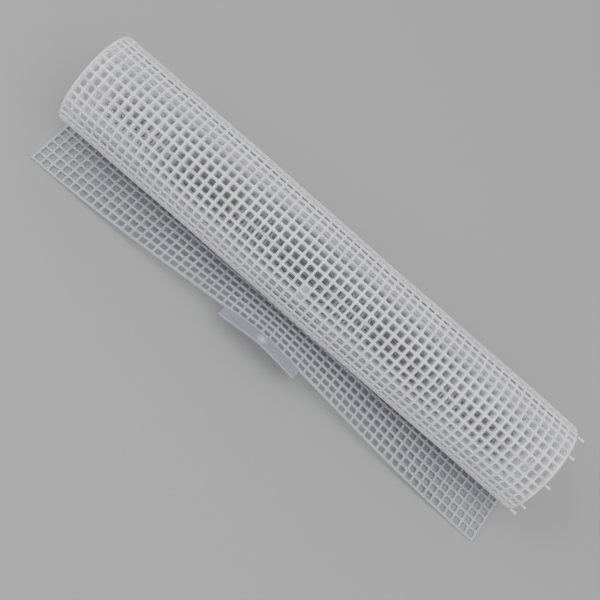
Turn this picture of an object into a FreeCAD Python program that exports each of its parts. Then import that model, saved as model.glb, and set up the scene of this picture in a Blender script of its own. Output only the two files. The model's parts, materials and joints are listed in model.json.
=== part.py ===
import FreeCAD, Part
import math
import os

# A flexible square-mesh mat, rolled up, with one free flap left lying out in front.
# Frame: X along the roll, the flap towards -Y, +Z up, the table at Z = 0.
# The mat is one moulding that bends at every row. Here the rolled part is a chain of flat
# strips, each a few rows wide, hinged along the edges of their inner faces.

Vector = FreeCAD.Vector

# Mesh, in mm
opening_size = 4.4
strand_width = 1.4
mat_thickness = 1.4
column_count = 61
flap_rows = 8
strip_rows = 4
strip_count = 20

# Roll: its inner face starts at this radius on the table and closes in with every turn
roll_inner_radius = 35.0
layer_gap = 1.0        # from the middle of a strip to the hinge lines of the turn inside it
flat_lead = 2.9        # stretch of mat on the table before the roll starts to rise
hinge_gap = 0.1        # between the edges of two neighbouring strips

# Flap: flat on the table at both ends, bowed upwards in the middle
bow_angle = 26.0
bow_bend_radius = 28.0
bow_spread = 1.3
bow_taper = 1.8
strand_inset = 0.1     # how far the long strands lie below the faces of the cross ribs

# Pull tab on the middle of the free edge
tab_length = 59.0
tab_width = 9.5
tab_root_length = 43.0
tab_ear_gap = 1.2      # widest opening of the wedge between an ear and the border
tab_corner_radius = 1.8
tab_stations = 16                   # sections along the tab's straight edge
tab_corner_degrees = (30, 55, 75)   # and round each corner

# Closed pad in the middle column, where the moulding was filled, in rows along the rolled part
pad_first_row = 55
pad_row_count = 3

# Ball-headed pegs on one side edge, as a number of rows along the rolled part
peg_rows = [15.9, 18.4, 22.4, 26.2, 27.9]
peg_stalk_radius = 0.6
peg_ball_radius = 1.0
peg_reach = 4.2

# Sizes that follow from the ones above
middle_column = column_count // 2
cell_pitch = opening_size + strand_width
strip_length = strip_rows * cell_pitch
half_width = (column_count * cell_pitch + strand_width) / 2
flap_length = flap_rows * cell_pitch + strand_width / 2
roll_axis_height = mat_thickness + roll_inner_radius
strip_bulge = roll_inner_radius - math.sqrt(roll_inner_radius ** 2 - (strip_length / 2) ** 2)
layer_step = mat_thickness + strip_bulge + layer_gap

halvings = 60          # of a quarter turn, to find the end of a strip on the spiral


def rib_x(index):
    """X of the middle of a cross rib, counted from the -X end."""
    return (index - column_count / 2) * cell_pitch


def spiral_point(turn):
    """(Y, Z) on the roll's inner face, turn radians round from the table."""
    radius = roll_inner_radius - layer_step * turn / (2 * math.pi)
    return radius * math.sin(turn), roll_axis_height - radius * math.cos(turn)


def next_turn(start, turn):
    """The turn at which the spiral is one strip length away from the point start."""
    low, high = turn, turn + math.pi / 2
    for _ in range(halvings):
        middle = (low + high) / 2
        y, z = spiral_point(middle)
        if math.hypot(y - start[0], z - start[1]) < strip_length:
            low = middle
        else:
            high = middle
    return low


def hinge_line_points():
    """(Y, Z) of every hinge line, from the flap's to the inner end of the roll."""
    points = [(-flat_lead, mat_thickness)]
    turn = 0.0
    for _ in range(strip_count):
        turn = next_turn(points[-1], turn)
        points.append(spiral_point(turn))
    return points


def strip_slopes(points):
    """Slope of each strip in radians, growing all the way round the roll."""
    slopes = []
    for start, end in zip(points, points[1:]):
        slope = math.atan2(end[1] - start[1], end[0] - start[0])
        while slopes and slope < slopes[-1]:
            slope += 2 * math.pi
        slopes.append(slope)
    return slopes


def rectangle(x_low, x_high, y_low, y_high):
    """Closed wire in the XY plane, anticlockwise."""
    corners = [(x_low, y_low), (x_high, y_low), (x_high, y_high), (x_low, y_high), (x_low, y_low)]
    return Part.makePolygon([Vector(x, y, 0) for x, y in corners])


def is_closed(row, column):
    """Whether the cell, by its row along the rolled part, belongs to the closed pad."""
    return column == middle_column and pad_first_row <= row < pad_first_row + pad_row_count


def opening(row, column):
    """Wire of one square opening, clockwise because it bounds a hole."""
    x_low = rib_x(column) + strand_width / 2
    y_low = row * cell_pitch + strand_width / 2
    wire = rectangle(x_low, x_low + opening_size, y_low, y_low + opening_size)
    wire.reverse()
    return wire


def flat_strip(number):
    """One strip, flat, with its first hinge line on the X axis and its inner face up."""
    is_last = number == strip_count
    end = strip_length + strand_width / 2 if is_last else strip_length - hinge_gap / 2
    wires = [rectangle(-half_width, half_width, hinge_gap / 2, end)]
    first_row = (number - 1) * strip_rows
    for column in range(column_count):
        for row in range(strip_rows):
            if not is_closed(first_row + row, column):
                wires.append(opening(row, column))
    return Part.Face(wires).extrude(Vector(0, 0, -mat_thickness))


def flat_peg(row_in_strip):
    """Peg on the +X edge of a flat strip: a stalk with a ball at its end."""
    root = Vector(half_width, row_in_strip * cell_pitch, -mat_thickness / 2)
    along = Vector(1, 0, 0)
    ball_reach = peg_reach - peg_ball_radius
    stalk = Part.makeCylinder(peg_stalk_radius, ball_reach, root, along)
    ball = Part.makeSphere(peg_ball_radius, root + along * ball_reach)
    return stalk.fuse(ball).removeSplitter()


def on_roll(shape, point, slope):
    """A shape made for a flat strip, carried to that strip's place on the roll."""
    placed = shape.copy()
    placed.rotate(Vector(0, 0, 0), Vector(1, 0, 0), math.degrees(slope))
    placed.translate(Vector(0, point[0], point[1]))
    return placed


def bow_at(x):
    """Slope, in radians, at which the flap leaves the table at x."""
    share = min(1.0, abs(x) / half_width)
    return math.radians(bow_angle) * (1 - share ** bow_spread) ** bow_taper


def flap_point(x, length, height):
    """Point on the flap: length from its hinge line, height above the mat's middle face."""
    bow = bow_at(x)
    turn = min(length / bow_bend_radius, bow)
    straight = length - bow_bend_radius * turn
    y = -bow_bend_radius * math.sin(turn) - straight * math.cos(bow) + height * math.sin(turn)
    z = bow_bend_radius * (1 - math.cos(turn)) + straight * math.sin(bow)
    return Vector(x, y - flat_lead, z + height * math.cos(turn) + mat_thickness / 2)


def flap_rib(index):
    """Cross rib of the flap: a bent stretch, then a straight one, at its own slope."""
    x = rib_x(index)
    start = hinge_gap / 2
    bend_end = bow_bend_radius * bow_at(x)
    half = mat_thickness / 2

    def corner(length, height):
        return flap_point(x, length, height) - Vector(strand_width / 2, 0, 0)

    def face_edges(height):
        """Edges of the rib's lower or upper face, from the hinge line outwards."""
        if bend_end < start + strand_width:
            return [Part.makeLine(corner(start, height), corner(flap_length, height))]
        middle = (start + bend_end) / 2
        bend = Part.Arc(corner(start, height), corner(middle, height), corner(bend_end, height))
        return [bend.toShape(), Part.makeLine(corner(bend_end, height), corner(flap_length, height))]

    edges = face_edges(-half)
    edges.append(Part.makeLine(corner(flap_length, -half), corner(flap_length, half)))
    edges.extend(reversed(face_edges(half)))
    edges.append(Part.makeLine(corner(start, half), corner(start, -half)))
    return Part.Face(Part.Wire(Part.__sortEdges__(edges))).extrude(Vector(strand_width, 0, 0))


def flap_strand(line, index):
    """Piece of a long strand of the flap, between two neighbouring cross ribs."""
    low = max(hinge_gap / 2, line * cell_pitch - strand_width / 2)
    high = line * cell_pitch + strand_width / 2
    half = mat_thickness / 2 - strand_inset
    x = rib_x(index)
    corners = [(low, -half), (high, -half), (high, half), (low, half), (low, -half)]
    section = Part.makePolygon([flap_point(x, *corner) for corner in corners])
    middle = line * cell_pitch
    reach = flap_point(x + cell_pitch, middle, 0) - flap_point(x, middle, 0)
    return Part.Face(section).extrude(reach)


def free_flap():
    ribs = [flap_rib(index) for index in range(column_count + 1)]
    strands = []
    for line in range(flap_rows + 1):
        strands.extend(flap_strand(line, index) for index in range(column_count))
    return ribs[0].multiFuse(ribs[1:] + strands)


def tab_section(x):
    """Cross-section of the tab at x, from its root at the border to its outer edge."""
    half = tab_length / 2
    root = flap_length + hinge_gap
    past_root = max(0.0, abs(x) - tab_root_length / 2)
    root += tab_ear_gap * past_root / (half - tab_root_length / 2)
    into_corner = max(0.0, abs(x) - (half - tab_corner_radius))
    corner_depth = math.sqrt(max(0.0, tab_corner_radius ** 2 - into_corner ** 2))
    rounding = tab_corner_radius - corner_depth
    low, high = root + rounding, flap_length + tab_width - rounding
    half_thick = mat_thickness / 2
    corners = [(low, -half_thick), (high, -half_thick), (high, half_thick), (low, half_thick)]
    return Part.makePolygon([flap_point(x, *corner) for corner in corners + corners[:1]])


def tab_stations_x():
    """X of the tab's sections: even along its length, closer together at the corners."""
    half = tab_length / 2
    straight = half - tab_corner_radius
    even = [straight * (2 * step / tab_stations - 1) for step in range(tab_stations + 1)]
    turns = [math.radians(degrees) for degrees in tab_corner_degrees]
    corner = [straight + tab_corner_radius * math.sin(turn) for turn in turns]
    root_ends = [-tab_root_length / 2, tab_root_length / 2]
    return sorted([-x for x in corner] + even + root_ends + corner)


def pull_tab():
    return Part.makeLoft([tab_section(x) for x in tab_stations_x()], True, True)


def build_pieces():
    """Every piece by name, with the flap's hinge line at Y = -flat_lead."""
    points = hinge_line_points()
    slopes = strip_slopes(points)
    pieces = {"free_flap": free_flap(), "pull_tab": pull_tab()}
    for number, (point, slope) in enumerate(zip(points, slopes), 1):
        pieces[f"roll_strip_{number:02d}"] = on_roll(flat_strip(number), point, slope)
    for number, row in enumerate(peg_rows, 1):
        strip = int(row // strip_rows)
        peg = flat_peg(row - strip * strip_rows)
        pieces[f"edge_peg_{number}"] = on_roll(peg, points[strip], slopes[strip])
    return pieces, points, slopes


def box_of(pieces):
    box = FreeCAD.BoundBox()
    for shape in pieces.values():
        box.add(shape.optimalBoundingBox(False, False))
    return box


def main():
    pieces, points, slopes = build_pieces()
    box = box_of(pieces)
    origin = Vector(box.Center.x, box.Center.y, box.ZMin)
    os.makedirs("parts", exist_ok=True)
    for name, shape in pieces.items():
        shape.translate(-origin)
        shape.exportStep(f"parts/{name}.step")
        print(name, "valid" if shape.isValid() else "BROKEN", len(shape.Solids), round(shape.Volume, 2))
    print("origin shift", round(origin.x, 4), round(origin.y, 4), round(origin.z, 4))
    print("box", round(box.XLength, 2), round(box.YLength, 2), round(box.ZLength, 2))
    previous = 0.0
    for number, (point, slope) in enumerate(zip(points, slopes), 1):
        y, z = point[0] - origin.y, point[1] - origin.z
        print(f"hinge {number} {y:.5f} {z:.5f} {math.degrees(slope - previous):.5f}")
        previous = slope
    tab_pivot = flap_point(0, flap_length + hinge_gap / 2, mat_thickness / 2) - origin
    print(f"tab hinge {tab_pivot.y:.5f} {tab_pivot.z:.5f}")


main()
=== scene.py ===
import json
import math

import bmesh
import bpy
import numpy as np
from mathutils import Matrix, Vector


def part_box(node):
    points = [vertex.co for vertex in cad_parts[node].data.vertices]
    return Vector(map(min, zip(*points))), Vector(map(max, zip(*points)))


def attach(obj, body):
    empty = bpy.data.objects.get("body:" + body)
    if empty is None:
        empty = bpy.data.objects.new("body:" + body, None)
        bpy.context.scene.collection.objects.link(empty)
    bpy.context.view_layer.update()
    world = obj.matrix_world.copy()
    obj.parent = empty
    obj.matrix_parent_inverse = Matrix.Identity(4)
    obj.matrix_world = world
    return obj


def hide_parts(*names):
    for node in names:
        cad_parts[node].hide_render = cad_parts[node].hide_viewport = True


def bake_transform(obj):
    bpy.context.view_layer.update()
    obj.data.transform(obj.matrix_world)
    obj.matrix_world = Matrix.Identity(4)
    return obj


bl_info = {
    "name": "Rolled mesh mat",
    "version": (1, 0, 0),
    "blender": (4, 5, 0),
    "location": "View3D > Sidebar > Mesh mat",
    "description": "Builds a rolled flexible mesh mat with its flap, pull tab and edge pegs",
    "category": "Object",
}

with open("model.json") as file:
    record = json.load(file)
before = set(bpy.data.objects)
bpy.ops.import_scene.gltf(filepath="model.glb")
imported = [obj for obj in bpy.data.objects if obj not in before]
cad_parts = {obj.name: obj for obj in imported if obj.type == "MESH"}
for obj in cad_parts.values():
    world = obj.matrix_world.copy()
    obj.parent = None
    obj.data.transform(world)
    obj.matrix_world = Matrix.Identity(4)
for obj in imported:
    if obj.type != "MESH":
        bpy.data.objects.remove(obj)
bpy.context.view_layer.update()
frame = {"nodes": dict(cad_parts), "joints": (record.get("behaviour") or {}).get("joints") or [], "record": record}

MM = 0.001
WELD = 0.01 * MM             # points nearer than this are joined
UNROLL = sorted((j for j in frame["joints"] if j["name"].startswith("unroll_")), key=lambda j: j["name"])
HINGE_LINES = [(j["pos_m"][1], j["pos_m"][2]) for j in UNROLL]
FLAP_LOW, FLAP_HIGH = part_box("free_flap")
CENTRE_X = (FLAP_LOW.x + FLAP_HIGH.x) / 2
HALF_WIDTH = (FLAP_HIGH.x - FLAP_LOW.x) / 2
THICKNESS = HINGE_LINES[0][1]     # the first hinge line lies on the sheet's upper face


def length_prop(name, description, default_mm, low_mm=0.0, high_mm=500.0):
    """A length shown in the scene's units, with its default given in millimetres."""
    return bpy.props.FloatProperty(
        name=name, description=description, default=default_mm * MM,
        min=low_mm * MM, max=high_mm * MM, subtype="DISTANCE", unit="LENGTH", precision=5)


def colour_prop(name, description, default):
    return bpy.props.FloatVectorProperty(
        name=name, description=description, default=default, size=3, min=0.0, max=1.0, subtype="COLOR")


class MatSizes(bpy.types.PropertyGroup):
    """Sizes of the mesh itself."""

    opening: length_prop("Opening", "Width of a square opening", 4.4, 1, 20)
    strand: length_prop("Strand", "Width of a strand between two openings", 1.4, 0.3, 10)
    corner: length_prop("Corner", "Radius of an opening's corners", 0.9, 0.1, 2)
    edge: length_prop("Edge", "Rounding of a strand's long edges", 0.28, 0.05, 0.6)
    columns: bpy.props.IntProperty(
        name="Columns", description="Openings along the roll", default=61, min=3, max=200)
    flap_rows: bpy.props.IntProperty(
        name="Flap rows", description="Rows of openings in the free flap", default=8, min=2, max=30)
    strip_rows: bpy.props.IntProperty(
        name="Strip rows", description="Rows between two hinge lines of the roll", default=4, min=4, max=9)
    pad_row: bpy.props.IntProperty(
        name="Pad row", description="First closed row of the pad, from the flap's hinge", default=55)
    pad_rows: bpy.props.IntProperty(
        name="Pad rows", description="Closed openings in the middle column", default=3, min=0, max=9)
    wave: length_prop("Wave", "How far the sheet strays from a true curve", 0.22, 0, 2)


class RollSizes(bpy.types.PropertyGroup):
    """How the mat is rolled up and how its flap lies."""

    radius: length_prop("Radius", "Radius of the sheet's middle face where the roll starts", 35.1, 10, 200)
    layer_step: length_prop(
        "Layer step", "How much the radius shrinks in one turn, before drawing in", 4.38, 1, 20)
    draw_in: length_prop(
        "Draw in", "How much tighter the sheet is rolled after its first half turn", 1.2, 0, 5)
    lead: length_prop("Lead", "Flat stretch between the flap's hinge and the roll", 2.9, 0, 20)
    bow_angle: bpy.props.FloatProperty(
        name="Bow angle", description="Slope of the flap in its middle",
        default=math.radians(26), min=0.0, max=1.2, subtype="ANGLE", unit="ROTATION")
    bow_bend: length_prop("Bow bend", "Radius at which the flap leaves the table", 28, 5, 100)
    bow_spread: bpy.props.FloatProperty(
        name="Bow spread", description="How flat the bow is in its middle", default=1.3, min=1.0, max=4.0)
    bow_taper: bpy.props.FloatProperty(
        name="Bow taper", description="How softly the bow runs out at the ends",
        default=1.8, min=0.5, max=4.0)


class TrimSizes(bpy.types.PropertyGroup):
    """The pull tab and the pegs."""

    tab_length: length_prop("Tab length", "Length of the pull tab along the border", 59, 10, 200)
    tab_width: length_prop("Tab width", "How far the tab stands out from the border", 9.5, 3, 40)
    tab_root: length_prop("Tab root", "Length over which the tab is moulded to the border", 43, 5, 200)
    tab_ear_gap: length_prop("Tab ear gap", "Widest opening between an ear and the border", 1.2, 0, 5)
    tab_corner: length_prop("Tab corner", "Radius of the tab's corners", 1.8, 0.5, 5)
    gate_radius: length_prop("Gate radius", "Radius of the filling mark on the tab", 1.5, 0.3, 5)
    peg_stalk: length_prop("Peg stalk", "Radius of a peg's stalk", 0.6, 0.2, 2)
    peg_ball: length_prop("Peg ball", "Radius of a peg's ball", 1.0, 0.3, 3)


class Finish(bpy.types.PropertyGroup):
    """Colours of the plastic and of the table; the flap's colour is the same plastic with painted shade."""

    roll_colour: colour_prop("Roll colour", "Plastic of the rolled mat", (0.80, 0.80, 0.84))
    # The flap's colour is a darker, bluer copy of the roll's plastic: painted shade standing in for the dimmer
    # look of a single translucent layer.
    flap_shade_colour: colour_prop("Flap colour", "Plastic where only one layer lies", (0.47, 0.485, 0.555))
    tab_colour: colour_prop("Tab colour", "Plastic of the pull tab", (0.31, 0.32, 0.38))
    floor_colour: colour_prop("Floor colour", "Table under the mat", (0.36, 0.36, 0.36))


def sizes():
    return bpy.context.scene.mat_sizes


def roll():
    return bpy.context.scene.mat_roll


def trim():
    return bpy.context.scene.mat_trim


def finish_values():
    return bpy.context.scene.mat_finish


# ---------------------------------------------------------------- the sheet's own shape

def pitch():
    return sizes().opening + sizes().strand


def roll_centre():
    """(Y, Z) of the roll's axis."""
    return HINGE_LINES[0][0] + roll().lead, roll().radius + THICKNESS / 2


def turns_by_length():
    """Lengths along the mat and how far round the roll they lie, in radians.

    They are given where the roll starts, at every later hinge line and past the mat's inner end."""
    centre_y, centre_z = roll_centre()
    strip = sizes().strip_rows * pitch()
    lengths, turns = [roll().lead], [0.0]
    for number, (y, z) in enumerate(HINGE_LINES[1:], 1):
        turn = math.atan2(y - centre_y, centre_z - z) % (2 * math.pi)
        while turn < turns[-1]:
            turn += 2 * math.pi
        lengths.append(number * strip)
        turns.append(turn)
    past_end = 2
    lengths.append(lengths[-1] + past_end * strip)
    turns.append(turns[-1] + past_end * (turns[-1] - turns[-2]))
    return lengths, turns


def bow_at(x):
    """Slope of the flap at x, in radians, for an array of places along the roll."""
    share = np.clip(np.abs(x) / HALF_WIDTH, 0, 1)
    return roll().bow_angle * (1 - share ** roll().bow_spread) ** roll().bow_taper


def on_flap(x, length, height):
    """(Y, Z) on the flap, length from the hinge line, height above the sheet's middle face."""
    bend = roll().bow_bend
    bow = bow_at(x)
    turn = np.minimum(length / bend, bow)
    straight = length - bend * turn
    y = -bend * np.sin(turn) - straight * np.cos(bow) + height * np.sin(turn)
    z = bend * (1 - np.cos(turn)) + straight * np.sin(bow) + height * np.cos(turn)
    return HINGE_LINES[0][0] + y, z + THICKNESS / 2


def eased(share):
    """Runs softly from 0 to 1 as share does."""
    share = np.clip(share, 0, 1)
    return share * share * (3 - 2 * share)


def drawn_in(turn):
    """How far the sheet is drawn in from an even spiral, so that it sinks less when it is unrolled.

    It is drawn in over most of the first half turn, and once more, a little less, in the third.
    Even so, some of its waves dip a little under the table once the mat lies open."""
    first_span, second_share = 0.8, 0.8
    half_turns = turn / math.pi
    return roll().draw_in * (eased(half_turns / first_span) + second_share * eased(half_turns - 2))


def on_roll(length, height):
    """(Y, Z) on the rolled mat, length from the flap's hinge line, height towards the axis."""
    centre_y, centre_z = roll_centre()
    flat = np.minimum(length - roll().lead, 0)
    turn = np.interp(length, *turns_by_length())
    radius = roll().radius - roll().layer_step * turn / (2 * math.pi) - drawn_in(turn) - height
    return centre_y + flat + radius * np.sin(turn), centre_z - radius * np.cos(turn)


def sheet_wave(x, length):
    """A slow, shallow waviness of the roll, with none on the flap or where the roll starts."""
    slow = np.sin(x / (31 * MM) + 0.8) * np.sin(length / (43 * MM) + 0.5)
    quick = 0.5 * np.sin(x / (11.3 * MM) - 1.9 + length / (21 * MM)) * np.sin(length / (17 * MM))
    flat_length, fade_length = 10 * MM, 50 * MM
    fade = np.clip((length - flat_length) / fade_length, 0, 1)
    return sizes().wave * fade * (slow + quick)


def on_mat(points):
    """Carries points of the flat mat (x, length from the hinge line, height) to their places.

    Lengths below zero lie on the flap, and above zero on the roll."""
    x, length, height = points.T
    height = height + sheet_wave(x, length)
    flap_y, flap_z = on_flap(x, np.maximum(-length, 0), height)
    roll_y, roll_z = on_roll(np.maximum(length, 0), height)
    is_flap = length < 0
    y = np.where(is_flap, flap_y, roll_y)
    z = np.where(is_flap, flap_z, roll_z)
    return np.stack([CENTRE_X + x, y, z], axis=1)


def carry_to_mat(mesh):
    """Moves a flat mesh's points to their places on the flap and the roll."""
    flat = np.zeros(len(mesh.vertices) * 3, np.float32)
    mesh.vertices.foreach_get("co", flat)
    placed = on_mat(flat.reshape(-1, 3).astype(float))
    mesh.vertices.foreach_set("co", placed.astype(np.float32).ravel())
    mesh.update()


# ---------------------------------------------------------------- helpers

def link(obj):
    bpy.context.scene.collection.objects.link(obj)
    return obj


def object_of(name, bm):
    """A new object from a bmesh, which is freed."""
    mesh = bpy.data.meshes.new(name)
    bm.to_mesh(mesh)
    bm.free()
    return link(bpy.data.objects.new(name, mesh))


def drop(obj):
    """Removes a helper object and its mesh."""
    mesh = obj.data
    bpy.data.objects.remove(obj)
    bpy.data.meshes.remove(mesh)


def rounded_square(half, radius, segments):
    """Points of a square with rounded corners, anticlockwise, segments to each corner."""
    points = []
    for corner in range(4):
        for step in range(segments + 1):
            angle = math.radians(90) * (corner + step / segments)
            sign_x = 1 if corner in (0, 3) else -1
            sign_y = 1 if corner in (0, 1) else -1
            centre = (half - radius) * sign_x, (half - radius) * sign_y
            points.append((centre[0] + radius * math.cos(angle), centre[1] + radius * math.sin(angle)))
    return points


# ---------------------------------------------------------------- materials

def add_node(tree, kind, place, **settings):
    node = tree.nodes.new(kind)
    node.location = place
    for name, value in settings.items():
        setattr(node, name, value)
    return node


def pale_spot(tree, colour, centre, radius):
    """Colour output of a soft lighter spot laid over a colour, round the given centre."""
    pale, strength = (0.8, 0.8, 0.84, 1), 0.55
    coords = add_node(tree, "ShaderNodeTexCoord", (-1000, 500))
    away = add_node(tree, "ShaderNodeVectorMath", (-700, 500), operation="DISTANCE")
    away.inputs[1].default_value = centre
    fade = add_node(tree, "ShaderNodeMapRange", (-400, 500), interpolation_type="SMOOTHERSTEP")
    fade.inputs["From Max"].default_value = radius
    fade.inputs["To Min"].default_value = strength
    fade.inputs["To Max"].default_value = 0.0
    mix = add_node(tree, "ShaderNodeMix", (-100, 400), data_type="RGBA")
    mix.inputs["B"].default_value = pale
    tree.links.new(coords.outputs["Object"], away.inputs[0])
    tree.links.new(away.outputs["Value"], fade.inputs["Value"])
    tree.links.new(fade.outputs["Result"], mix.inputs["Factor"])
    tree.links.new(colour, mix.inputs["A"])
    return mix.outputs["Result"]


def plastic(name, colour, roughness, spot=None):
    """Milky moulded plastic: cloudy colour, faint flow marks and a fine satin grain."""
    material = bpy.data.materials.new(name)
    material.use_nodes = True
    tree = material.node_tree
    tree.nodes.clear()
    out = add_node(tree, "ShaderNodeOutputMaterial", (900, 0))
    shader = add_node(tree, "ShaderNodeBsdfPrincipled", (600, 0))
    shader.inputs["IOR"].default_value = 1.49
    shader.inputs["Coat Weight"].default_value = 0.1
    shader.inputs["Coat Roughness"].default_value = 0.3
    shader.inputs["Subsurface Weight"].default_value = 0.7
    shader.inputs["Subsurface Radius"].default_value = (1.0, 1.0, 1.0)
    shader.inputs["Subsurface Scale"].default_value = 0.003
    coords = add_node(tree, "ShaderNodeTexCoord", (-1000, 0))
    clouds = add_node(tree, "ShaderNodeTexNoise", (-700, 200))
    clouds.inputs["Scale"].default_value = 28.0
    clouds.inputs["Detail"].default_value = 3.0
    ramp = add_node(tree, "ShaderNodeValToRGB", (-400, 200))
    ramp.color_ramp.elements[0].position = 0.3
    ramp.color_ramp.elements[1].position = 0.7
    ramp.color_ramp.elements[0].color = [0.9 * value for value in colour] + [1]
    ramp.color_ramp.elements[1].color = [min(1.0, 1.06 * value) for value in colour] + [1]
    grain = add_node(tree, "ShaderNodeTexNoise", (-700, -200))
    grain.inputs["Scale"].default_value = 900.0
    grain.inputs["Detail"].default_value = 2.0
    flow = add_node(tree, "ShaderNodeTexNoise", (-700, -450))
    flow.inputs["Scale"].default_value = 120.0
    bump = add_node(tree, "ShaderNodeBump", (200, -300))
    bump.inputs["Strength"].default_value = 0.12
    bump.inputs["Distance"].default_value = 0.0002
    rough = add_node(tree, "ShaderNodeMapRange", (-400, -450))
    rough.inputs["To Min"].default_value = roughness - 0.06
    rough.inputs["To Max"].default_value = roughness + 0.08
    wire = tree.links.new
    for texture in (clouds, grain, flow):
        wire(coords.outputs["Object"], texture.inputs["Vector"])
    wire(clouds.outputs["Fac"], ramp.inputs["Fac"])
    base = pale_spot(tree, ramp.outputs["Color"], *spot) if spot else ramp.outputs["Color"]
    wire(base, shader.inputs["Base Color"])
    wire(flow.outputs["Fac"], rough.inputs["Value"])
    wire(rough.outputs["Result"], shader.inputs["Roughness"])
    wire(grain.outputs["Fac"], bump.inputs["Height"])
    wire(bump.outputs["Normal"], shader.inputs["Normal"])
    wire(shader.outputs["BSDF"], out.inputs["Surface"])
    return material


def material_of(name):
    """One of the scene's named plastics, made the first time it is asked for."""
    found = bpy.data.materials.get(name)
    if found:
        return found
    colours = finish_values()
    spot_radius = 5.5 * MM
    recipes = {
        "roll_mesh_plastic": (colours.roll_colour, 0.42),
        # the flap uses the roll's plastic painted darker and bluer, as painted shade for a single layer
        "flap_mesh_plastic": (colours.flap_shade_colour, 0.38),
        "tab_plate_plastic": (colours.tab_colour, 0.34, (tab_middle(), spot_radius)),
        "peg_plastic": (colours.roll_colour, 0.34),
    }
    return plastic(name, *recipes[name])


# ---------------------------------------------------------------- one opening and a sheet of them

def opening_tile(name, is_closed):
    """Upper half of one cell of the mesh: a square round an opening, with walls to the middle face.

    A closed cell is the same square with no opening in it."""
    size = sizes()
    half_pitch, half_opening = pitch() / 2, size.opening / 2
    top, edge = THICKNESS / 2, size.edge
    bm = bmesh.new()
    flat = half_opening - size.corner
    border = []
    for turn in range(4):
        rotate = Matrix.Rotation(math.radians(90) * turn, 3, "Z")
        for x, y in ((half_pitch, flat), (half_pitch, half_pitch), (flat, half_pitch)):
            border.append(bm.verts.new(rotate @ Vector((x, y, top))))
    if is_closed:
        bm.faces.new(border)
        return object_of(name, bm)
    levels = [(half_opening + edge, size.corner + edge, top), (half_opening, size.corner, top - edge),
              (half_opening, size.corner, 0)]
    corner_steps = 3     # the faces at each corner are laid out for three
    ring_size = 4 * (corner_steps + 1)
    rings = []
    for half, radius, height in levels:
        outline = rounded_square(half, radius, corner_steps)
        rings.append([bm.verts.new((x, y, height)) for x, y in outline])
    ring = rings[0]
    for corner in range(4):
        side, tip, other = border[corner * 3:corner * 3 + 3]
        arc = ring[corner * 4:corner * 4 + 4]
        bm.faces.new((side, tip, arc[1], arc[0]))
        bm.faces.new((tip, arc[2], arc[1]))
        bm.faces.new((tip, other, arc[3], arc[2]))
        following = border[(corner * 3 + 3) % len(border)]
        bm.faces.new((other, following, ring[(corner * 4 + 4) % ring_size], arc[3]))
    for upper, lower in zip(rings, rings[1:]):
        for index in range(ring_size):
            after = (index + 1) % ring_size
            bm.faces.new((upper[index], upper[after], lower[after], lower[index]))
    return object_of(name, bm)


class NodeDesk:
    """A short way to lay out a geometry node tree."""

    def __init__(self, name, inputs):
        self.tree = bpy.data.node_groups.new(name, "GeometryNodeTree")
        for label, kind, default in inputs:
            socket = self.tree.interface.new_socket(label, in_out="INPUT", socket_type=kind)
            if default is not None:
                socket.default_value = default
        self.tree.interface.new_socket("Geometry", in_out="OUTPUT", socket_type="NodeSocketGeometry")
        self.given = self.node("NodeGroupInput").outputs

    def node(self, kind, settings=None, **sockets):
        """Adds a node. Sockets are named with underscores for spaces, and linked or set."""
        made = self.tree.nodes.new(kind)
        for name, value in (settings or {}).items():
            setattr(made, name, value)
        made.location = (220 * (len(self.tree.nodes) % 12), -260 * (len(self.tree.nodes) // 12))
        for name, value in sockets.items():
            self.plug(made.inputs[name.replace("_", " ")], value)
        return made

    def plug(self, socket, value):
        if isinstance(value, bpy.types.NodeSocket):
            self.tree.links.new(value, socket)
        else:
            socket.default_value = value

    def math(self, operation, first, second=0.0):
        made = self.tree.nodes.new("ShaderNodeMath")
        made.operation = operation
        self.plug(made.inputs[0], first)
        self.plug(made.inputs[1], second)
        return made.outputs[0]

    def both(self, first, second):
        made = self.tree.nodes.new("FunctionNodeBooleanMath")
        made.operation = "AND"
        self.plug(made.inputs[0], first)
        self.plug(made.inputs[1], second)
        return made.outputs[0]

    def vector(self, x=0.0, y=0.0, z=0.0):
        return self.node("ShaderNodeCombineXYZ", X=x, Y=y, Z=z).outputs[0]

    def finish(self, geometry):
        self.tree.links.new(geometry, self.node("NodeGroupOutput").inputs[0])
        return self.tree


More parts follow.
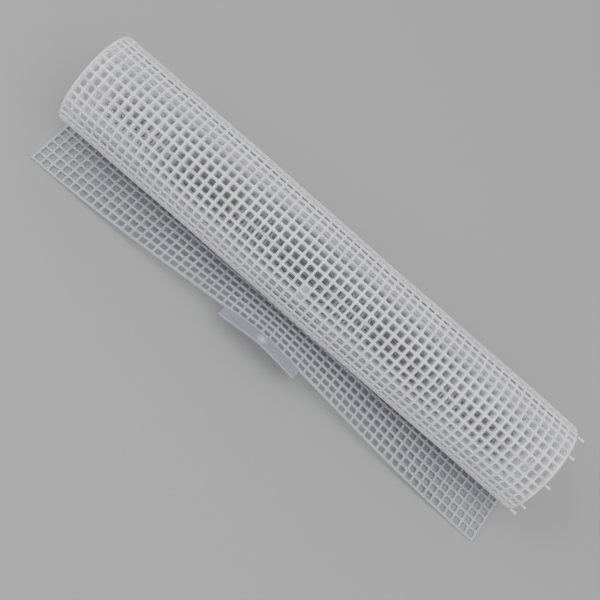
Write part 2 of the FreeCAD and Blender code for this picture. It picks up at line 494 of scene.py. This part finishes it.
def sheet_tree():
    """Tree that lays cells in a grid, closes the pad, widens the borders and makes the sheet thick."""
    number, length = "NodeSocketInt", "NodeSocketFloat"
    desk = NodeDesk("perforated_sheet", [
        ("Open Cell", "NodeSocketObject", None), ("Closed Cell", "NodeSocketObject", None),
        ("Material", "NodeSocketMaterial", None),
        ("Columns", number, 61), ("Rows", number, 3), ("First Row", number, 0),
        ("Pitch", length, 0.0058), ("Thickness", length, 0.0014), ("Side Border", length, 0.0007),
        ("Near Border", length, 0.0), ("Far Border", length, 0.0),
        ("Pad Row", number, 0), ("Pad Rows", number, 0)])
    given, calc = desk.given, desk.math
    pitch_in, half = given["Pitch"], calc("DIVIDE", given["Thickness"], 2.0)
    width = calc("MULTIPLY", given["Columns"], pitch_in)
    depth = calc("MULTIPLY", given["Rows"], pitch_in)
    near_y = calc("MULTIPLY", given["First Row"], pitch_in)
    far_y = calc("ADD", near_y, depth)
    grid = desk.node("GeometryNodeMeshGrid", Size_X=calc("SUBTRACT", width, pitch_in),
                     Size_Y=calc("SUBTRACT", depth, pitch_in), Vertices_X=given["Columns"],
                     Vertices_Y=given["Rows"])
    centre_y = calc("ADD", near_y, calc("DIVIDE", depth, 2.0))
    cells = desk.node("GeometryNodeSetPosition", Geometry=grid.outputs["Mesh"],
                      Offset=desk.vector(y=centre_y))
    place = desk.node("ShaderNodeSeparateXYZ", Vector=desk.node("GeometryNodeInputPosition").outputs[0])
    x, y, z = place.outputs
    row = calc("DIVIDE", y, pitch_in)
    pad_end = calc("ADD", given["Pad Row"], given["Pad Rows"])
    in_column = calc("LESS_THAN", calc("ABSOLUTE", x), calc("DIVIDE", pitch_in, 2.0))
    in_rows = desk.both(calc("GREATER_THAN", row, given["Pad Row"]), calc("LESS_THAN", row, pad_end))
    is_pad = desk.both(in_column, in_rows)
    is_open = desk.node("FunctionNodeBooleanMath", {"operation": "NOT"}, Boolean=is_pad).outputs[0]
    joined = desk.node("GeometryNodeJoinGeometry")
    for label, chosen in (("Open Cell", is_open), ("Closed Cell", is_pad)):
        cell = desk.node("GeometryNodeObjectInfo", Object=given[label])
        placed = desk.node("GeometryNodeInstanceOnPoints", Points=cells.outputs[0], Selection=chosen,
                           Instance=cell.outputs["Geometry"])
        desk.tree.links.new(placed.outputs[0], joined.inputs[0])
    real = desk.node("GeometryNodeRealizeInstances", Geometry=joined.outputs[0])
    merged = desk.node("GeometryNodeMergeByDistance", Geometry=real.outputs[0], Distance=WELD)
    half_width = calc("DIVIDE", width, 2.0)
    at_side = calc("GREATER_THAN", calc("ABSOLUTE", x), calc("SUBTRACT", half_width, WELD))
    sideways = calc("MULTIPLY", calc("MULTIPLY", at_side, calc("SIGN", x)), given["Side Border"])
    at_near = calc("LESS_THAN", y, calc("ADD", near_y, WELD))
    at_far = calc("GREATER_THAN", y, calc("SUBTRACT", far_y, WELD))
    lengthways = calc("SUBTRACT", calc("MULTIPLY", at_far, given["Far Border"]),
                      calc("MULTIPLY", at_near, given["Near Border"]))
    widened = desk.node("GeometryNodeSetPosition", Geometry=merged.outputs[0],
                        Offset=desk.vector(x=sideways, y=lengthways))
    is_rim = calc("COMPARE", desk.node("GeometryNodeInputMeshEdgeNeighbors").outputs[0], 1.0)
    is_top = calc("GREATER_THAN", z, calc("DIVIDE", half, 2.0))
    walls = desk.node("GeometryNodeExtrudeMesh", {"mode": "EDGES"}, Mesh=widened.outputs[0],
                      Selection=desk.both(is_rim, is_top), Offset=desk.vector(z=-1.0), Offset_Scale=half)
    below = desk.node("GeometryNodeTransform", Geometry=walls.outputs[0], Scale=(1, 1, -1))
    turned = desk.node("GeometryNodeFlipFaces", Mesh=below.outputs[0])
    whole = desk.node("GeometryNodeJoinGeometry")
    for side in (walls, turned):
        desk.tree.links.new(side.outputs[0], whole.inputs[0])
    closed = desk.node("GeometryNodeMergeByDistance", Geometry=whole.outputs[0], Distance=WELD)
    finished = desk.node("GeometryNodeSetMaterial", Geometry=closed.outputs[0], Material=given["Material"])
    return desk.finish(finished.outputs[0])


def made_by(tree, name, values):
    """The plain mesh object that a node tree gives for these input values."""
    holder = link(bpy.data.objects.new(name + "_holder", bpy.data.meshes.new(name + "_holder")))
    modifier = holder.modifiers.new("Shape", "NODES")
    modifier.node_group = tree
    for item in tree.interface.items_tree:
        if item.in_out == "INPUT" and item.name in values:
            modifier[item.identifier] = values[item.name]
    bpy.context.view_layer.update()
    depsgraph = bpy.context.evaluated_depsgraph_get()
    mesh = bpy.data.meshes.new_from_object(holder.evaluated_get(depsgraph), depsgraph=depsgraph)
    mesh.name = name
    drop(holder)
    return link(bpy.data.objects.new(name, mesh))


def outward(mesh):
    """Turns every face of a closed mesh outwards."""
    bm = bmesh.new()
    bm.from_mesh(mesh)
    bmesh.ops.recalc_face_normals(bm, faces=bm.faces)
    bm.to_mesh(mesh)
    bm.free()


class SheetMaker:
    """Makes pieces of the mesh, by their rows counted from the flap's hinge line."""

    def __init__(self):
        self.tree = sheet_tree()
        self.open_cell = opening_tile("open_cell", False)
        self.closed_cell = opening_tile("closed_cell", True)

    def piece(self, name, first_row, rows, material, near=False, far=False):
        size = sizes()
        border = size.strand / 2
        obj = made_by(self.tree, name, {
            "Open Cell": self.open_cell, "Closed Cell": self.closed_cell,
            "Material": material_of(material), "Columns": size.columns, "Rows": rows,
            "First Row": first_row, "Pitch": pitch(), "Thickness": THICKNESS, "Side Border": border,
            "Near Border": border if near else 0.0, "Far Border": border if far else 0.0,
            "Pad Row": size.pad_row, "Pad Rows": size.pad_rows})
        outward(obj.data)
        carry_to_mat(obj.data)
        return obj

    def clear(self):
        drop(self.open_cell)
        drop(self.closed_cell)


def point_on_mat(length, height=0.0):
    """A point in the roll's middle plane, length along the mat from the flap's hinge line."""
    return Vector(on_mat(np.array([[0.0, length, height]]))[0])


# ---------------------------------------------------------------- the pieces

class MAT_OT_flap(bpy.types.Operator):
    """Make the free flap, bowed up in its middle"""

    bl_idname = "mesh_mat.flap"
    bl_label = "Free flap"

    def execute(self, context):
        maker = SheetMaker()
        rows = sizes().flap_rows
        flap = maker.piece("mesh_flap", -rows, rows - 1, "flap_mesh_plastic", near=True)
        maker.clear()
        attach(flap, "flap")
        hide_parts("free_flap")
        return {"FINISHED"}


class MAT_OT_bands(bpy.types.Operator):
    """Make the rolled mesh as bands that each span one hinge line"""

    bl_idname = "mesh_mat.bands"
    bl_label = "Rolled mesh"

    def execute(self, context):
        maker = SheetMaker()
        rows = sizes().strip_rows
        half = rows // 2
        previous = "flap"
        for number in range(1, len(UNROLL) + 1):
            hinge_row = (number - 1) * rows
            first = -1 if number == 1 else hinge_row - rows + half
            after = hinge_row + half
            band = maker.piece(f"mesh_band_{number:02d}", first, after - first, "roll_mesh_plastic")
            body = f"strip_{number:02d}"
            point_on_mat(first * pitch())
            point_on_mat(after * pitch())
            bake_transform(band)
            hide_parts(f"roll_strip_{number:02d}")
            previous = body
        tail = maker.piece("mesh_inner_end", after, rows - half, "roll_mesh_plastic", far=True)
        maker.clear()
        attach(tail, previous)
        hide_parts(f"roll_strip_{len(UNROLL):02d}")
        return {"FINISHED"}


class MAT_OT_pull_tab(bpy.types.Operator):
    """Make the pull tab, with the round mark where it was filled"""

    bl_idname = "mesh_mat.pull_tab"
    bl_label = "Pull tab"

    def execute(self, context):
        tab = link(bpy.data.objects.new("tab_plate", tab_mesh()))
        tab.data.materials.append(material_of("tab_plate_plastic"))
        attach(tab, "tab")
        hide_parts("pull_tab")
        return {"FINISHED"}


def tab_outline(x):
    """(root, outer edge) of the tab at x, as lengths from the flap's hinge line."""
    t = trim()
    flap_length = sizes().flap_rows * pitch() + sizes().strand / 2
    half = t.tab_length / 2
    past_root = max(0.0, abs(x) - t.tab_root / 2) / (half - t.tab_root / 2)
    into_corner = min(t.tab_corner, max(0.0, abs(x) - (half - t.tab_corner)))
    rounding = t.tab_corner - math.sqrt(t.tab_corner ** 2 - into_corner ** 2)
    hinge_gap = 0.1 * MM
    root = flap_length + hinge_gap + t.tab_ear_gap * past_root
    return root + rounding, flap_length + t.tab_width - rounding


def tab_middle():
    """The middle of the tab's upper face."""
    root, outer = tab_outline(0.0)
    return point_on_mat(-(root + outer) / 2, THICKNESS / 2)


def tab_mesh():
    """The tab as a grid over its outline, thin at its rounded rim, with a shallow mark in its middle."""
    t = trim()
    columns, rows = 120, 16
    crowding = 0.35      # how much the columns crowd towards the ends
    half = t.tab_length / 2
    rim = 0.45 * MM
    bm = bmesh.new()
    grids = []
    for side in (1, -1):
        grid = []
        for column in range(columns + 1):
            even = 2 * column / columns - 1
            x = half * (crowding * math.sin(math.radians(90) * even) + (1 - crowding) * even)
            root, outer = tab_outline(x)
            line = []
            for row in range(rows + 1):
                share = 0.5 - 0.5 * math.cos(math.pi * row / rows)
                length = root + (outer - root) * share
                inset = min(length - root, outer - length, half - abs(x))
                dip = rim - math.sqrt(max(0.0, rim ** 2 - max(0.0, rim - inset) ** 2))
                height = THICKNESS / 2 - dip
                away = math.hypot(x, length - (root + outer) / 2)
                if side > 0:
                    height += mark_height(away) + bead_height(inset)
                line.append(bm.verts.new((x, -length, side * height)))
            grid.append(line)
        grids.append(grid)
    upper, lower = grids
    for column in range(columns):
        for row in range(rows):
            for grid in grids:
                bm.faces.new((grid[column][row], grid[column + 1][row],
                              grid[column + 1][row + 1], grid[column][row + 1]))
    rim_path = [(column, 0) for column in range(columns)] + [(columns, row) for row in range(rows)]
    rim_path += [(column, rows) for column in range(columns, 0, -1)]
    rim_path += [(0, row) for row in range(rows, 0, -1)]
    for here, after in zip(rim_path, rim_path[1:] + rim_path[:1]):
        bm.faces.new((upper[here[0]][here[1]], upper[after[0]][after[1]],
                      lower[after[0]][after[1]], lower[here[0]][here[1]]))
    bmesh.ops.remove_doubles(bm, verts=bm.verts, dist=WELD / 10)
    bmesh.ops.recalc_face_normals(bm, faces=bm.faces)
    for face in bm.faces:
        face.smooth = True
    mesh = bpy.data.meshes.new("tab_plate")
    bm.to_mesh(mesh)
    bm.free()
    carry_to_mat(mesh)
    return mesh


def bead_height(inset):
    """Height of the low bead that runs round the tab, a little in from its rim."""
    height, place, spread = 0.22 * MM, 0.7 * MM, 0.3 * MM
    return height * math.exp(-((inset - place) / spread) ** 2)


def mark_height(away):
    """Height of the filling mark: a low ring round a small flat middle."""
    radius = trim().gate_radius
    height, place, spread = 0.25 * MM, 0.6 * radius, 0.35 * radius
    return height * math.exp(-((away - place) / spread) ** 2)


class MAT_OT_pegs(bpy.types.Operator):
    """Make the ball-headed pegs on one side edge"""

    bl_idname = "mesh_mat.pegs"
    bl_label = "Edge pegs"

    def execute(self, context):
        bodies = frame["record"]["behaviour"]["bodies"]
        pegs = sorted(name for name in frame["nodes"] if name.startswith("edge_peg_"))
        for node in pegs:
            body = next(name for name, members in bodies.items() if node in members)
            peg = turned_peg(node)
            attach(peg, body)
            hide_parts(node)
        return {"FINISHED"}


def turned_peg(node):
    """A peg with a flared foot, a stalk and a ball, turned about its own axis."""
    t = trim()
    low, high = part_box(node)
    centre = (low + high) / 2
    reach = high.x - low.x
    foot, sunk = 0.35 * MM, 0.1 * MM
    foot_steps, ball_steps, sides = 4, 12, 24
    profile = [(-sunk, t.peg_stalk + foot)]
    for step in range(foot_steps + 1):
        angle = math.radians(90) * step / foot_steps
        profile.append((foot * (1 - math.cos(angle)), t.peg_stalk + foot * (1 - math.sin(angle))))
    ball_centre = reach - t.peg_ball
    neck = math.asin(t.peg_stalk / t.peg_ball)
    for step in range(ball_steps + 1):
        angle = neck + (math.pi - neck) * step / ball_steps
        profile.append((ball_centre - t.peg_ball * math.cos(angle), t.peg_ball * math.sin(angle)))
    bm = bmesh.new()
    rings = []
    for along, radius in profile[:-1]:
        ring = []
        for side in range(sides):
            angle = 2 * math.pi * side / sides
            ring.append(bm.verts.new((low.x + along, centre.y + radius * math.cos(angle),
                                      centre.z + radius * math.sin(angle))))
        rings.append(ring)
    for first, second in zip(rings, rings[1:]):
        for side in range(sides):
            after = (side + 1) % sides
            bm.faces.new((first[side], first[after], second[after], second[side]))
    bm.faces.new(rings[0])
    bm.faces.new(rings[-1])
    bmesh.ops.recalc_face_normals(bm, faces=bm.faces)
    for face in bm.faces:
        face.smooth = True
    peg = object_of(node.replace("edge_peg", "peg"), bm)
    peg.data.materials.append(material_of("peg_plastic"))
    return peg


class MAT_OT_stage(bpy.types.Operator):
    """Lay the floor, set the light and place the camera"""

    bl_idname = "mesh_mat.stage"
    bl_label = "Stage"

    def execute(self, context):
        make_floor()
        make_lights()
        make_camera()
        return {"FINISHED"}


def make_floor():
    half_side, drop_below = 6.0, 0.3 * MM
    bm = bmesh.new()
    bmesh.ops.create_grid(bm, x_segments=1, y_segments=1, size=half_side)
    floor = object_of("floor", bm)
    floor.data.transform(Matrix.Translation((0, 0, -drop_below)))
    material = bpy.data.materials.new("floor_paint")
    material.use_nodes = True
    shader = material.node_tree.nodes["Principled BSDF"]
    shader.inputs["Base Color"].default_value = [*finish_values().floor_colour, 1]
    shader.inputs["Roughness"].default_value = 0.85
    floor.data.materials.append(material)


def area_light(name, place, target, size, power):
    light = bpy.data.lights.new(name, "AREA")
    light.shape = "DISK"
    light.size = size
    light.energy = power
    obj = link(bpy.data.objects.new(name, light))
    obj.location = place
    obj.rotation_euler = (Vector(target) - Vector(place)).to_track_quat("-Z", "Y").to_euler()
    return obj


def make_lights():
    """A large soft key from above the flap's side, a broad fill from the left, and an even sky."""
    middle = (0, 0, 0.03)
    area_light("key_light", (0.25, -0.35, 1.4), middle, 1.2, 11.0)
    area_light("fill_light", (-0.9, -0.2, 0.9), middle, 1.2, 6.0)
    world = bpy.data.worlds.new("studio")
    world.use_nodes = True
    sky = world.node_tree.nodes["Background"]
    sky.inputs["Color"].default_value = (1, 1, 1, 1)
    sky.inputs["Strength"].default_value = 0.72
    bpy.context.scene.world = world


def make_camera():
    """A long lens, high over the flap's side, turned so that the roll runs down to the right."""
    azimuth, elevation, bank = math.radians(1.91), math.radians(61.1), math.radians(42.83)
    target = Vector((CENTRE_X + 1.73 * MM, roll_centre()[0] - 18.1 * MM, 30 * MM))
    distance = 660 * MM
    forward = Vector((math.sin(azimuth) * math.cos(elevation), math.cos(azimuth) * math.cos(elevation),
                      -math.sin(elevation)))
    level = forward.cross(Vector((0, 0, 1))).normalized()
    upright = level.cross(forward)
    right = level * math.cos(bank) + upright * math.sin(bank)
    up = upright * math.cos(bank) - level * math.sin(bank)
    camera = bpy.data.cameras.new("camera")
    camera.lens = 66.2
    camera.sensor_width = 36.0
    camera.clip_start = 10 * MM
    obj = link(bpy.data.objects.new("camera", camera))
    turn = Matrix((right, up, -forward)).transposed().to_4x4()
    obj.matrix_world = Matrix.Translation(target - forward * distance) @ turn
    bpy.context.scene.camera = obj


class MAT_PT_panel(bpy.types.Panel):
    """Lists the steps that build the mat"""

    bl_idname = "MAT_PT_panel"
    bl_label = "Mesh mat"
    bl_space_type = "VIEW_3D"
    bl_region_type = "UI"
    bl_category = "Mesh mat"

    def draw(self, context):
        for group in (sizes(), roll(), trim(), finish_values()):
            box = self.layout.box()
            for name in group.bl_rna.properties.keys():
                if name not in ("rna_type", "name"):
                    box.prop(group, name)
        for step in STEPS:
            self.layout.operator(step.bl_idname)


GROUPS = {"mat_sizes": MatSizes, "mat_roll": RollSizes, "mat_trim": TrimSizes, "mat_finish": Finish}
STEPS = (MAT_OT_flap, MAT_OT_bands, MAT_OT_pull_tab, MAT_OT_pegs, MAT_OT_stage)


def register():
    for item in (*GROUPS.values(), *STEPS, MAT_PT_panel):
        bpy.utils.register_class(item)
    for name, group in GROUPS.items():
        setattr(bpy.types.Scene, name, bpy.props.PointerProperty(type=group))


def unregister():
    for name in GROUPS:
        delattr(bpy.types.Scene, name)
    for item in (MAT_PT_panel, *reversed(STEPS), *reversed(GROUPS.values())):
        bpy.utils.unregister_class(item)


def main():
    register()
    bpy.ops.mesh_mat.flap()
    bpy.ops.mesh_mat.bands()
    bpy.ops.mesh_mat.pull_tab()
    bpy.ops.mesh_mat.pegs()
    bpy.ops.mesh_mat.stage()


if __name__ == "__main__":
    main()
